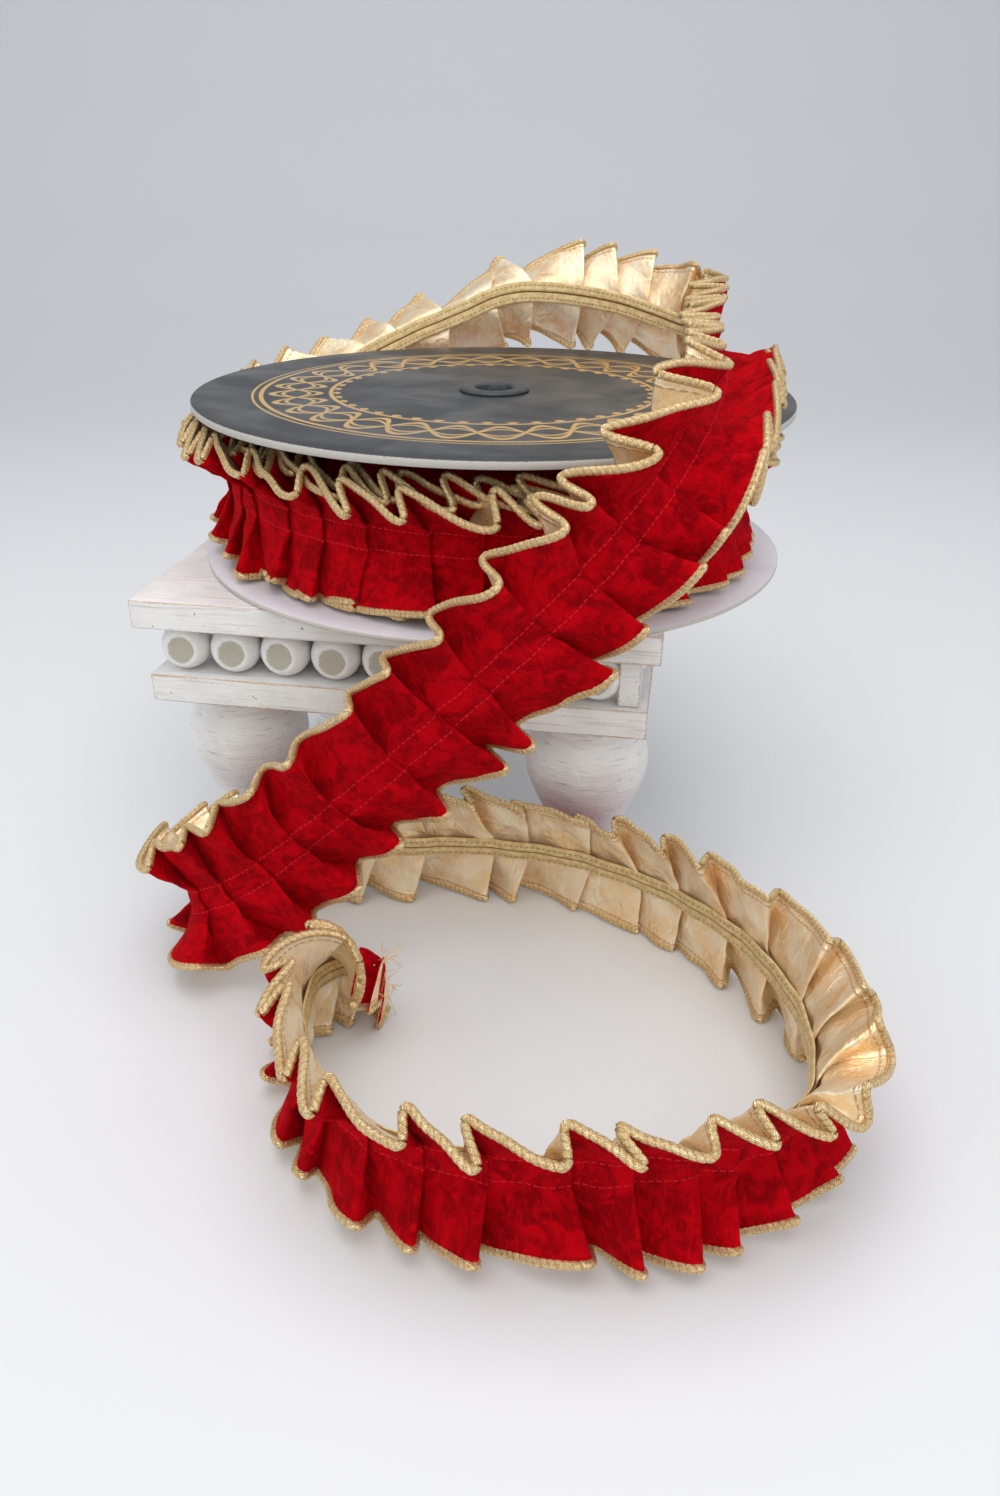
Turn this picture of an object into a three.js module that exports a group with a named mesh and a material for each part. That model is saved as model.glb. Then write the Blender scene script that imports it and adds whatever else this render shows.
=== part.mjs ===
// Roll of pleated wired ribbon on a spool, with its loose end hanging over the edge of a small stand.
// Millimetres, +Z up. The spool's axis is x = y = 0 and the table is z = 0 while the pieces are made.
// At the end the whole object moves sideways, so that its origin is the middle of its box on the table.
import * as THREE from "three";
import * as BufferGeometryUtils from "three/addons/utils/BufferGeometryUtils.js";

// Driving dimensions
const GAP = 0.3; // clearance between pieces that rest on or fit each other
const STAND_HEIGHT = 133;
const STAND_SIDE = 210;
const STAND_TURN = -11.5; // degrees about Z
const STAND_CENTRE = { x: -23, y: 7 };
const FLANGE_RADIUS = 127;
const LOWER_FLANGE_THICKNESS = 2;
const UPPER_FLANGE_THICKNESS = 3;
const FLANGE_SPACE = 61.7; // clear height between the flanges
const BORE_RADIUS = 8;
const HUB_WALL = 3;
const HUB_RING_RADIUS = 15;
const HUB_RING_THICKNESS = 1.3;
const RIBBON_WIDTH = 60; // over both edge cords
const CLOTH_THICKNESS = 2;
const CORD_DIAMETER = 2.8;
const TAPE_WIDTH = 10;
const TAPE_THICKNESS = 1;
const PLEAT_PITCH = 26;
const RUFFLE_DEPTH = 5.5; // how far an edge swings to either side of its middle line

// Heights that follow
const LOWER_FLANGE_BOTTOM = STAND_HEIGHT + GAP;
const LOWER_FLANGE_TOP = LOWER_FLANGE_BOTTOM + LOWER_FLANGE_THICKNESS;
const UPPER_FLANGE_BOTTOM = LOWER_FLANGE_TOP + FLANGE_SPACE;
const UPPER_FLANGE_TOP = UPPER_FLANGE_BOTTOM + UPPER_FLANGE_THICKNESS;

const radians = THREE.MathUtils.degToRad;

function material(color, roughness, metalness) {
  return new THREE.MeshStandardMaterial({ color, roughness, metalness });
}

function namedMesh(name, geometry, finish) {
  const mesh = new THREE.Mesh(geometry, finish);
  mesh.name = name;
  return mesh;
}

// Repeatable numbers between 0 and 1 for the unevenness of the pleats.
function randomNumbers(seed) {
  let state = seed;
  return () => {
    state = (state * 1664525 + 1013904223) % 4294967296;
    return state / 4294967296;
  };
}

// A closed body through rings of equal point counts. Rings run around the body's section, and the
// body is either closed on itself or ends in two flat caps of paired points.
function loftGeometry(rings, closed) {
  const count = rings[0].length;
  const positions = rings.flat().flatMap((point) => [point.x, point.y, point.z]);
  const indices = [];
  const spans = closed ? rings.length : rings.length - 1;
  for (let i = 0; i < spans; i += 1) {
    const a = i * count;
    const b = ((i + 1) % rings.length) * count;
    for (let j = 0; j < count; j += 1) {
      const k = (j + 1) % count;
      indices.push(a + j, a + k, b + k, a + j, b + k, b + j);
    }
  }
  if (!closed) {
    const last = (rings.length - 1) * count;
    for (let j = 0; j < count / 2 - 1; j += 1) {
      const j1 = count - 1 - j;
      indices.push(j, j1, j + 1, j1, j1 - 1, j + 1);
      indices.push(last + j, last + j + 1, last + j1, last + j1, last + j + 1, last + j1 - 1);
    }
  }
  const geometry = new THREE.BufferGeometry();
  geometry.setAttribute("position", new THREE.Float32BufferAttribute(positions, 3));
  geometry.setIndex(indices);
  return geometry;
}

// A turned piece: profile points are [radius, height], and the axis is Z.
function turnedGeometry(profile, segments) {
  const points = profile.map(([radius, height]) => new THREE.Vector2(radius, height));
  const geometry = new THREE.LatheGeometry(points, segments);
  geometry.rotateX(Math.PI / 2);
  geometry.deleteAttribute("normal");
  geometry.deleteAttribute("uv");
  return BufferGeometryUtils.mergeVertices(geometry, 1e-4);
}

// Stand: square boards with a recessed block between them, on four turned bun feet

const BOARD_THICKNESS = 12;
const BLOCK_HEIGHT = 21;
const LOWER_BOARD_SIDE = 203;
const BLOCK_SIDE = 192;
const FOOT_OFFSET = { x: 76, y: 66 };

function makeStand() {
  const paint = material(0xe9e6e2, 0.75, 0);
  const stand = new THREE.Group();
  stand.position.set(STAND_CENTRE.x, STAND_CENTRE.y, 0);
  stand.rotation.z = radians(STAND_TURN);

  const topBoardBottom = STAND_HEIGHT - BOARD_THICKNESS;
  const lowerBoardTop = topBoardBottom - BLOCK_HEIGHT;
  const footHeight = lowerBoardTop - BOARD_THICKNESS;
  const layers = [
    { name: "stand_top_board", side: STAND_SIDE, bottom: topBoardBottom, height: BOARD_THICKNESS },
    { name: "stand_middle_block", side: BLOCK_SIDE, bottom: lowerBoardTop + GAP, height: BLOCK_HEIGHT - 2 * GAP },
    { name: "stand_lower_board", side: LOWER_BOARD_SIDE, bottom: footHeight, height: BOARD_THICKNESS },
  ];
  for (const { name, side, bottom, height } of layers) {
    const board = namedMesh(name, new THREE.BoxGeometry(side, side, height), paint.clone());
    board.position.z = bottom + height / 2;
    stand.add(board);
  }

  const footTop = footHeight - GAP;
  // [radius, height]: the pad, the swelling bun, its neck, and the collar under the board
  const footProfile = [
    [0, 0],
    [14, 0],
    [14, 7],
    [12, 12],
    [13, 22],
    [18, 35],
    [24, 49],
    [26.5, 60],
    [25, 69],
    [21, 76],
    [22.5, 78],
    [22.5, footTop],
    [0, footTop],
  ];
  let number = 0;
  for (const sideX of [-1, 1]) {
    for (const sideY of [-1, 1]) {
      number += 1;
      const foot = namedMesh(`stand_foot_${number}`, turnedGeometry(footProfile, 24), paint.clone());
      foot.position.set(sideX * FOOT_OFFSET.x, sideY * FOOT_OFFSET.y, 0);
      stand.add(foot);
    }
  }
  return stand;
}

// Spool: two board discs on a thin hub tube whose ring shows on the top

function makeSpool() {
  const spool = new THREE.Group();
  const hubRadius = BORE_RADIUS + HUB_WALL;
  const discs = [
    { name: "lower_flange", bottom: LOWER_FLANGE_BOTTOM, top: LOWER_FLANGE_TOP, color: 0xd9d5df, roughness: 0.7 },
    { name: "upper_flange", bottom: UPPER_FLANGE_BOTTOM, top: UPPER_FLANGE_TOP, color: 0x3b3e42, roughness: 0.55 },
  ];
  for (const { name, bottom, top, color, roughness } of discs) {
    const hole = hubRadius + GAP;
    const profile = [[hole, bottom], [FLANGE_RADIUS, bottom], [FLANGE_RADIUS, top], [hole, top], [hole, bottom]];
    spool.add(namedMesh(name, turnedGeometry(profile, 72), material(color, roughness, 0)));
  }
  const ringBottom = UPPER_FLANGE_TOP + GAP;
  const ringTop = ringBottom + HUB_RING_THICKNESS;
  const hubProfile = [
    [BORE_RADIUS, LOWER_FLANGE_BOTTOM],
    [hubRadius, LOWER_FLANGE_BOTTOM],
    [hubRadius, ringBottom],
    [HUB_RING_RADIUS, ringBottom],
    [HUB_RING_RADIUS, ringTop],
    [BORE_RADIUS, ringTop],
    [BORE_RADIUS, LOWER_FLANGE_BOTTOM],
  ];
  spool.add(namedMesh("hub", turnedGeometry(hubProfile, 32), material(0x26282b, 0.5, 0)));
  return spool;
}

// Wound ribbon: all turns as one ring with a ruffled outside

// Place along a pleat and swing of the edges there: a slow rise, then a quick return.
const PLEAT_STEPS = [
  { along: 0, swing: -1 },
  { along: 0.35, swing: 0.1 },
  { along: 0.7, swing: 1 },
];

// Outer radius of the cloth around the roll, without ruffles, by angle from +X (anticlockwise),
// and how far the upper and the lower ruffles stand out from it.
const ROLL_OUTLINE = [
  { angle: -180, radius: 103, upper: 0, lower: 0 },
  { angle: -160, radius: 104, upper: 0, lower: 1 },
  { angle: -149, radius: 108.5, upper: 2, lower: 1 },
  { angle: -136, radius: 108, upper: 12, lower: 4 },
  { angle: -90, radius: 108, upper: 16, lower: 4 },
  { angle: -30, radius: 107, upper: 10, lower: 5 },
  { angle: 0, radius: 106, upper: 5, lower: 5 },
  { angle: 90, radius: 103, upper: 3, lower: 3 },
  { angle: 180, radius: 103, upper: 0, lower: 0 },
];

function rollOutlineAt(angle) {
  let i = 0;
  while (ROLL_OUTLINE[i + 1].angle < angle) i += 1;
  const from = ROLL_OUTLINE[i];
  const to = ROLL_OUTLINE[i + 1];
  const share = (angle - from.angle) / (to.angle - from.angle);
  const mix = (key) => THREE.MathUtils.lerp(from[key], to[key], share);
  return { radius: mix("radius"), upper: mix("upper"), lower: mix("lower") };
}

// Outside of the roll from its top to its foot: height over the lower edge, step in or out from the
// outline, share of the upper and of the lower ruffle there, and how much a wide upper ruffle drops.
const ROLL_SECTION = [
  { height: 52, step: -3, upperShare: 0.7, lowerShare: 0, drop: 0.5 },
  { height: 42, step: 0, upperShare: 1, lowerShare: 0, drop: 0.3 },
  { height: 24, step: 0, upperShare: 0, lowerShare: 0, drop: 0 },
  { height: 4, step: 0, upperShare: 0, lowerShare: 1, drop: 0 },
  { height: 0, step: -3, upperShare: 0, lowerShare: 0, drop: 0 },
];
const ROLL_HEIGHT = 55; // at the hub, where the turns are tight
const ROLL_PLEATS = 27;

function makeWoundRibbon() {
  const random = randomNumbers(11);
  const inner = BORE_RADIUS + HUB_WALL + GAP;
  const bottom = LOWER_FLANGE_TOP + GAP;
  const rings = [];
  for (let pleat = 0; pleat < ROLL_PLEATS; pleat += 1) {
    const depth = 0.6 + 0.4 * random();
    for (const { along, swing } of PLEAT_STEPS) {
      const angle = -180 + (360 * (pleat + along)) / ROLL_PLEATS;
      const { radius, upper, lower } = rollOutlineAt(angle);
      const up = upper * (0.7 + 0.3 * swing) * depth;
      const low = lower * (0.5 + 0.5 * swing) * depth;
      const outside = ROLL_SECTION.map(({ height, step, upperShare, lowerShare, drop }) => [
        radius + step + upperShare * up + lowerShare * low,
        bottom + height - drop * up,
      ]);
      const profile = [[inner, bottom + ROLL_HEIGHT], ...outside, [inner, bottom]];
      const turn = radians(angle);
      rings.push(profile.map(([r, z]) => new THREE.Vector3(r * Math.cos(turn), r * Math.sin(turn), z)));
    }
  }
  return namedMesh("wound_ribbon", loftGeometry(rings, true), material(0xa3061a, 0.8, 0));
}

// Loose ribbon: one pleated sheet from the roll, up behind the spool, forward over its rim, down
// past the stand's front, and once round a loop on the table

// Middle line of the ribbon in its order from the roll to the cut end. The top edge leans to the
// velvet side by tilt degrees, and both halves bend to the velvet side by flare degrees.
const RIBBON_ROUTE = [
  { place: "beside the roll", x: -97, y: -56, z: 166, tilt: 4, flare: 22 },
  { place: "left", x: -113, y: -20, z: 167, tilt: 8, flare: 30 },
  { place: "left", x: -113, y: 20, z: 167, tilt: 4, flare: 27 },
  { place: "left back", x: -109, y: 62, z: 169, tilt: 8, flare: 29 },
  { place: "rising", x: -99, y: 97, z: 176, tilt: 10, flare: 30 },
  { place: "rising", x: -79, y: 123, z: 186, tilt: 20, flare: 40 },
  { place: "behind the rim", x: -50, y: 137, z: 200, tilt: 24, flare: 44 },
  { place: "behind the rim", x: -17, y: 141, z: 213, tilt: 24, flare: 44 },
  { place: "highest", x: 16, y: 141, z: 225, tilt: 18, flare: 46 },
  { place: "behind the rim", x: 60, y: 138, z: 223, tilt: 2, flare: 40 },
  { place: "back right", x: 94, y: 124, z: 215, tilt: -2, flare: 32 },
  { place: "turning forward", x: 110, y: 94, z: 211, tilt: -20, flare: 30 },
  { place: "on the flange", x: 106, y: 48, z: 209, tilt: -50, flare: 36 },
  { place: "on the flange", x: 93, y: -14, z: 208, tilt: -66, flare: 38 },
  { place: "on the flange", x: 78, y: -70, z: 208, tilt: -68, flare: 38 },
  { place: "over the rim", x: 67, y: -106, z: 207, tilt: -60, flare: 38 },
  { place: "falling", x: 57, y: -126, z: 199, tilt: -54, flare: 38 },
  { place: "falling", x: 41, y: -140, z: 180, tilt: -48, flare: 38 },
  { place: "falling", x: 10, y: -149, z: 148, tilt: -42, flare: 38 },
  { place: "falling", x: -27, y: -153, z: 112, tilt: -36, flare: 37 },
  { place: "falling", x: -64, y: -153, z: 78, tilt: -30, flare: 36 },
  { place: "reaching the table", x: -97, y: -150, z: 49, tilt: -18, flare: 33 },
  { place: "turning back", x: -118, y: -140, z: 34, tilt: 2, flare: 30 },
  { place: "turning back", x: -120, y: -122, z: 31, tilt: 4, flare: 30 },
  { place: "back of the loop", x: -100, y: -103, z: 32, tilt: 0, flare: 20 },
  { place: "back of the loop", x: -56, y: -93, z: 32, tilt: -10, flare: 2 },
  { place: "back of the loop", x: -8, y: -91, z: 32, tilt: -14, flare: -4 },
  { place: "back of the loop", x: 32, y: -102, z: 32, tilt: -12, flare: -2 },
  { place: "right of the loop", x: 66, y: -126, z: 31, tilt: -10, flare: 8 },
  { place: "right of the loop", x: 92, y: -162, z: 30, tilt: -6, flare: 24 },
  { place: "right of the loop", x: 102, y: -205, z: 30, tilt: 0, flare: 30 },
  { place: "right of the loop", x: 92, y: -246, z: 30, tilt: 0, flare: 30 },
  { place: "front of the loop", x: 56, y: -267, z: 30, tilt: 0, flare: 28 },
  { place: "front of the loop", x: 4, y: -270, z: 30, tilt: 0, flare: 26 },
  { place: "front of the loop", x: -40, y: -258, z: 30, tilt: 2, flare: 28 },
  { place: "left of the loop", x: -62, y: -234, z: 30, tilt: 0, flare: 28 },
  { place: "left of the loop", x: -67, y: -212, z: 30, tilt: 0, flare: 26 },
  { place: "left of the loop", x: -64, y: -193, z: 30, tilt: 0, flare: 20 },
  { place: "cut end", x: -55, y: -183, z: 29, tilt: -30, flare: 0 },
  { place: "cut end", x: -44, y: -184, z: 28, tilt: -50, flare: -10 },
];

// Sections across the ribbon, one for each step of each pleat: middle point, direction up the
// ribbon, direction to the velvet side, the halves' bend and how far each edge swings.
function ribbonSections() {
  const line = new THREE.CatmullRomCurve3(
    RIBBON_ROUTE.map(({ x, y, z }) => new THREE.Vector3(x, y, z)), false, "catmullrom", 0.5);
  const lean = new THREE.CatmullRomCurve3(
    RIBBON_ROUTE.map(({ tilt, flare }) => new THREE.Vector3(tilt, flare, 0)), false, "catmullrom", 0.5);
  line.arcLengthDivisions = 1000;
  const length = line.getLength();
  const random = randomNumbers(5);
  const up = new THREE.Vector3(0, 0, 1);
  const count = Math.round(length / PLEAT_PITCH);
  const sections = [];
  for (let pleat = 0; pleat < count; pleat += 1) {
    const upper = RUFFLE_DEPTH * (0.6 + 0.5 * random());
    const lower = RUFFLE_DEPTH * (0.6 + 0.5 * random());
    for (const { along, swing } of PLEAT_STEPS) {
      const t = line.getUtoTmapping((pleat + along) / (count - 1 + PLEAT_STEPS.at(-1).along));
      const middle = line.getPoint(t);
      const forward = line.getTangent(t);
      const { x: tilt, y: flare } = lean.getPoint(t);
      const upright = up.clone().addScaledVector(forward, -up.dot(forward)).normalize();
      const velvet = new THREE.Vector3().crossVectors(upright, forward);
      upright.applyAxisAngle(forward, radians(-tilt));
      velvet.applyAxisAngle(forward, radians(-tilt));
      sections.push({ middle, upright, velvet, flare: radians(flare), upper: upper * swing, lower: lower * swing });
    }
  }
  return { sections, length };
}

// The middle band under the tape stays flat, and the cloth ends short of the cords, so that the
// pieces stay apart where the ribbon twists.
const FLAT_HALF = TAPE_WIDTH / 2 + 0.4;
const CORD_CLEARANCE = 2.8 * GAP;
const TAPE_CLEARANCE = 2.4 * GAP;
const CLOTH_HALF = RIBBON_WIDTH / 2 - CORD_DIAMETER - CORD_CLEARANCE;

// Point of a section, across millimetres up from the middle line and off millimetres to the velvet side.
function sectionPoint({ middle, upright, velvet, flare, upper, lower }, across, off) {
  const side = Math.sign(across);
  const bent = Math.max(Math.abs(across) - FLAT_HALF, 0);
  const flat = Math.abs(across) - bent;
  const swing = (side > 0 ? upper : lower) * (bent / (CLOTH_HALF - FLAT_HALF));
  const rise = side * (flat + bent * Math.cos(flare)) - (bent > 0 ? side * off * Math.sin(flare) : 0);
  const out = bent * Math.sin(flare) + (bent > 0 ? off * Math.cos(flare) : off) + swing;
  return middle.clone().addScaledVector(upright, rise).addScaledVector(velvet, out);
}

function makeLooseRibbon(sections) {
  const middleOfHalf = (FLAT_HALF + CLOTH_HALF) / 2;
  const across = [-CLOTH_HALF, -middleOfHalf, -FLAT_HALF, FLAT_HALF, middleOfHalf, CLOTH_HALF];
  const rings = sections.map((section) => [
    ...across.map((place) => sectionPoint(section, place, CLOTH_THICKNESS / 2)),
    ...across.toReversed().map((place) => sectionPoint(section, place, -CLOTH_THICKNESS / 2)),
  ]);
  return namedMesh("loose_ribbon", loftGeometry(rings, false), material(0xc40a1c, 0.8, 0));
}

function makeEdgeCord(name, sections, side) {
  const radius = CORD_DIAMETER / 2;
  const place = side * (RIBBON_WIDTH / 2 - radius);
  const rings = sections.map((section) => [
    sectionPoint(section, place - radius, 0),
    sectionPoint(section, place, radius),
    sectionPoint(section, place + radius, 0),
    sectionPoint(section, place, -radius),
  ]);
  return namedMesh(name, loftGeometry(rings, false), material(0xd8bd8a, 0.4, 0.8));
}

function makeCentreTape(sections) {
  const outer = -(CLOTH_THICKNESS / 2 + TAPE_CLEARANCE);
  const inner = outer - TAPE_THICKNESS;
  const half = TAPE_WIDTH / 2;
  const rings = sections.map((section) => [
    sectionPoint(section, -half, outer),
    sectionPoint(section, half, outer),
    sectionPoint(section, half, inner),
    sectionPoint(section, -half, inner),
  ]);
  return namedMesh("centre_tape", loftGeometry(rings, false), material(0xc9ae62, 0.4, 0.8));
}

const { sections } = ribbonSections();
const object = new THREE.Group();
object.add(
  makeStand(),
  makeSpool(),
  makeWoundRibbon(),
  makeLooseRibbon(sections),
  makeEdgeCord("upper_edge_cord", sections, 1),
  makeEdgeCord("lower_edge_cord", sections, -1),
  makeCentreTape(sections),
);

// The origin is the middle of the object's box, on the table.
object.updateMatrixWorld(true);
const middle = new THREE.Box3().setFromObject(object, true).getCenter(new THREE.Vector3());
object.position.set(-middle.x, -middle.y, 0);

export default object;
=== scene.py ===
import bpy
import bmesh
import math
import numpy as np
from mathutils import Matrix, Vector, noise


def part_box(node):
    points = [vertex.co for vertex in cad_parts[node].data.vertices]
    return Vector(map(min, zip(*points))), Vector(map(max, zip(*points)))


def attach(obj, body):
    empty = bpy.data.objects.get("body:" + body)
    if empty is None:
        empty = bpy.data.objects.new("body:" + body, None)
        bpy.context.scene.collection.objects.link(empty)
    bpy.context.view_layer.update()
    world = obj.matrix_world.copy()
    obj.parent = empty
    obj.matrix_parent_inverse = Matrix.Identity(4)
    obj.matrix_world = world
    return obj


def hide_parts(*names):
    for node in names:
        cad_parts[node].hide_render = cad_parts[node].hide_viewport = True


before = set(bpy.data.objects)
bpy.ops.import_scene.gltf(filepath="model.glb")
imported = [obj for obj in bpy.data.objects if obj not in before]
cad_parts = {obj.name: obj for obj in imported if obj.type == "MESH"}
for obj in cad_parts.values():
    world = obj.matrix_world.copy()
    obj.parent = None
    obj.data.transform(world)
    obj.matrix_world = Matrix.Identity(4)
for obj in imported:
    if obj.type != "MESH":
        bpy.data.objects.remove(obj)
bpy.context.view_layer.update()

# Stand boards. Two square boards sawn from soft wood, with a core block between them, all brushed
# with white paint. The paint is rubbed through along the edges and grey dirt sits in its strokes.

stand_turn = math.radians(-11.5)
top_board_side = 0.210
lower_board_side = 0.203
core_side = 0.158
edge_rounding = 0.0009
board_sway = 0.00022


def colour_of(*srgb):
    """A colour as a screen shows it, 0 to 255, as the shader's linear one."""
    return (*[((c / 255 + 0.055) / 1.055) ** 2.4 if c > 10 else c / 255 / 12.92 for c in srgb], 1)


def new_finish(name):
    finish = bpy.data.materials.new(name)
    finish.use_nodes = True
    return finish, finish.node_tree, finish.node_tree.nodes["Principled BSDF"]


def step(tree, kind, inputs=None, **settings):
    """One shader node. Its inputs are numbers, colours or the outputs of other nodes."""
    node = tree.nodes.new("ShaderNode" + kind)
    for key, value in settings.items():
        setattr(node, key, value)
    for key, value in (inputs or {}).items():
        if isinstance(value, bpy.types.NodeSocket):
            tree.links.new(value, node.inputs[key])
        else:
            node.inputs[key].default_value = value
    return node


def sums(tree, operation, first, second=0.0, third=0.0):
    return step(tree, "Math", {0: first, 1: second, 2: third}, operation=operation).outputs[0]


def apart(tree, value, middle):
    """How far a value is from a middle one."""
    return sums(tree, "ABSOLUTE", sums(tree, "SUBTRACT", value, middle))


def waves(tree, value, rate):
    return sums(tree, "SINE", sums(tree, "MULTIPLY", value, rate))


def blended(tree, share, first, second):
    """A colour between two, by share."""
    mix = tree.nodes.new("ShaderNodeMix")
    mix.data_type = "RGBA"
    for socket, value in ((mix.inputs[0], share), (mix.inputs[6], first), (mix.inputs[7], second)):
        if isinstance(value, bpy.types.NodeSocket):
            tree.links.new(value, socket)
        else:
            socket.default_value = value
    return mix.outputs[2]


def ramp(tree, value, low, high, to_low=0.0, to_high=1.0):
    """Value taken smoothly from the range low..high to the range to_low..to_high."""
    inputs = {"Value": value, "From Min": low, "From Max": high, "To Min": to_low, "To Max": to_high}
    return step(tree, "MapRange", inputs, interpolation_type="SMOOTHSTEP").outputs["Result"]


def grain(tree, place, scale, detail=3.0, distortion=0.0):
    inputs = {"Vector": place, "Scale": scale, "Detail": detail, "Distortion": distortion}
    return step(tree, "TexNoise", inputs).outputs["Fac"]


def stretched(tree, place, scale):
    return step(tree, "VectorMath", {0: place, 1: scale}, operation="MULTIPLY").outputs[0]


def own_place(tree):
    """The piece's own coordinates in millimetres."""
    return step(tree, "Attribute", attribute_name="place").outputs["Vector"]


def roughened(tree, shader, height, strength, distance):
    inputs = {"Height": height, "Strength": strength, "Distance": distance}
    tree.links.new(step(tree, "Bump", inputs).outputs[0], shader.inputs["Normal"])


def brushed_paint(name, stroke, dirt):
    """White paint over wood, with its strokes stretched by stroke and the share of dirt in them. The
    paint wears off where the mesh says that an edge is near."""
    finish, tree, shader = new_finish(name)
    place = own_place(tree)
    edge = step(tree, "Attribute", attribute_name="edge").outputs["Fac"]
    old_white, white = colour_of(233, 231, 228), colour_of(243, 242, 240)
    strokes = grain(tree, stretched(tree, place, stroke), 1.0, 5, 0.4)
    specks = grain(tree, place, 0.55, 5, 0.6)
    patches = grain(tree, place, 0.06, 3)
    paint = blended(tree, ramp(tree, patches, 0.35, 0.65), old_white, white)
    paint = blended(tree, ramp(tree, strokes, 0.56, 0.72, 0.0, dirt), paint, colour_of(178, 168, 160))
    mark = sums(tree, "MULTIPLY", ramp(tree, specks, 0.66, 0.74), ramp(tree, patches, 0.42, 0.62))
    paint = blended(tree, mark, paint, colour_of(126, 118, 112))
    rubbed = sums(tree, "MULTIPLY_ADD", strokes, 2.6, edge)
    rubbed = ramp(tree, sums(tree, "MULTIPLY_ADD", specks, 1.2, rubbed), 2.75, 1.85)
    wood = blended(tree, strokes, colour_of(188, 150, 116), colour_of(222, 194, 164))
    tree.links.new(blended(tree, rubbed, paint, wood), shader.inputs["Base Color"])
    height = sums(tree, "MULTIPLY_ADD", rubbed, -0.5, sums(tree, "MULTIPLY_ADD", strokes, 1.0, specks))
    roughened(tree, shader, height, 0.5, 0.0007)
    tree.links.new(ramp(tree, strokes, 0.3, 0.7, 0.5, 0.68), shader.inputs["Roughness"])
    return finish


def marked(mesh, name, values, domain="POINT"):
    """Writes each point's own place, or how far it is from an edge, for the finish to read."""
    kind, key = ("FLOAT", "value") if name == "edge" else ("FLOAT_VECTOR", "vector")
    field = mesh.attributes.new(name, kind, domain)
    field.data.foreach_set(key, np.asarray(values, np.float32).ravel())


def in_scene(name, data):
    """An object of this name in the scene, for a mesh, a light or a camera."""
    thing = bpy.data.objects.new(name, data)
    bpy.context.scene.collection.objects.link(thing)
    return thing


def sawn_board(name, side, low, high, finish):
    """A square board about the stand's middle, turned as the stand is, with rubbed round edges."""
    body = bmesh.new()
    bmesh.ops.create_cube(body, size=2)
    bmesh.ops.subdivide_edges(body, edges=body.edges, cuts=27, use_grid_fill=True)
    mesh = bpy.data.meshes.new(name)
    body.to_mesh(mesh)
    body.free()
    half = np.array((side, side, high - low)) / 2
    corners = np.array([corner.co for corner in mesh.vertices])
    corners = half * np.sin(np.pi / 2 * corners)
    from_edge = np.sort(half - np.abs(corners), axis=1)[:, 1]
    inner = np.clip(corners, edge_rounding - half, half - edge_rounding)
    outward = corners - inner
    span = np.maximum(np.linalg.norm(outward, axis=1, keepdims=True), 1e-9)
    sway = np.array([noise.noise(Vector((30, 90, 90)) * Vector(corner)) for corner in corners])
    shaped = inner + outward / span * (edge_rounding + board_sway * sway[:, None])
    mesh.vertices.foreach_set("co", shaped.astype(np.float32).ravel())
    marked(mesh, "place", 1000 * corners)
    marked(mesh, "edge", 1000 * from_edge)
    middle = Matrix.Translation((*stand_middle, (low + high) / 2))
    mesh.transform(middle @ Matrix.Rotation(stand_turn, 4, "Z"))
    mesh.shade_smooth()
    mesh.materials.append(finish)
    board = in_scene(name, mesh)
    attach(board, "root")
    return board


top_low, top_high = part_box("stand_top_board")
lower_low, lower_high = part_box("stand_lower_board")
stand_middle = (top_low.x + top_high.x) / 2, (top_low.y + top_high.y) / 2
board_paint = brushed_paint("brushed_board_paint", (0.03, 0.9, 1.4), 0.55)
top_board = sawn_board("top_board", top_board_side, top_low.z, top_high.z, board_paint)
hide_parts("stand_top_board")
lower_board = sawn_board("lower_board", lower_board_side, lower_low.z, lower_high.z, board_paint)
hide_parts("stand_lower_board")
sawn_board("core_block", core_side, lower_high.z, top_low.z, board_paint)

# Row of beads. Turned wooden beads stand side by side between the boards, glued to the core block.
# Each has its outer face sanded flat, where the paint is thin and the wood shows greenish grey.

bead_radius = 0.0102
bead_pitch = 0.0212
bead_reach = 0.0990
bead_tilt = 0.16
flat_face = 0.0068
face_hollow = 0.0006


def turned(name, outline, sides, place_on, finish, closed=False):
    """Turns an outline of (radius, height) rows about the Z axis, then moves it by place_on."""
    outline = np.array(outline, float)
    rings = len(outline)
    angle = 2 * np.pi * np.arange(sides) / sides
    x = outline[:, 0, None] * np.cos(angle)
    y = outline[:, 0, None] * np.sin(angle)
    z = np.broadcast_to(outline[:, 1, None], x.shape)
    points = np.stack([x, y, z], -1).reshape(-1, 3)
    ring = np.arange(rings if closed else rings - 1)
    first = (ring[:, None] * sides + np.arange(sides)).ravel()
    beside = (ring[:, None] * sides + (np.arange(sides) + 1) % sides).ravel()
    above = ((ring + 1) % rings)[:, None] * sides
    faces = np.stack([first, beside, (above + (np.arange(sides) + 1) % sides).ravel(),
                      (above + np.arange(sides)).ravel()], 1).tolist()
    if not closed:
        faces += [list(range(sides))[::-1], list(range((rings - 1) * sides, rings * sides))]
    mesh = bpy.data.meshes.new(name)
    mesh.from_pydata(points.tolist(), [], faces)
    marked(mesh, "place", 1000 * points)
    mesh.transform(place_on)
    mesh.shade_smooth()
    mesh.materials.append(finish)
    return in_scene(name, mesh)


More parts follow.
